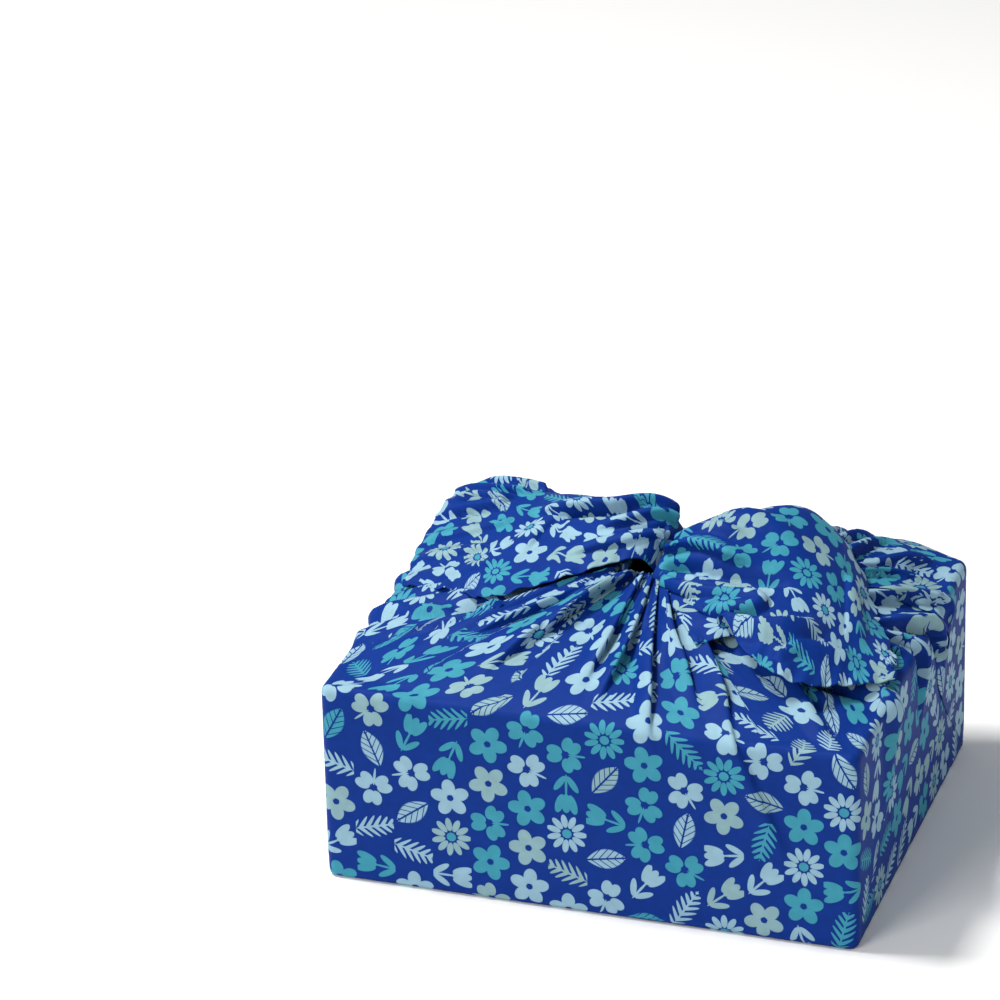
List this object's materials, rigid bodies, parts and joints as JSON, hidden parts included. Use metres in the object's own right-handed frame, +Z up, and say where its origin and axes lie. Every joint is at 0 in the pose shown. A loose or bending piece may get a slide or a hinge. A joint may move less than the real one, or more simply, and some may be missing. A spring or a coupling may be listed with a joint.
{
  "type": "furoshiki wrap on a gift box",
  "caption": "Square printed cloth wrapped round a low box, gathered in pleats over the lid and tied in a knot with two broad ears and a small third tail.",
  "frame": {"origin": "middle of the flat underside, on the surface that the wrap stands on", "axes": "+X to the right along the long front side, -Y the front, +Z up through the knot"},
  "size_m": [0.2871, 0.2286, 0.1674],
  "materials": {
    "printed_cotton": "plain-woven cotton with a soft sheen, blue with pale leaves and flowers",
    "box_card": "uncoated greyboard"
  },
  "bodies": {
    "root": {"furoshiki": "printed_cotton", "gift_box": "box_card"}
  },
  "joints": []
}
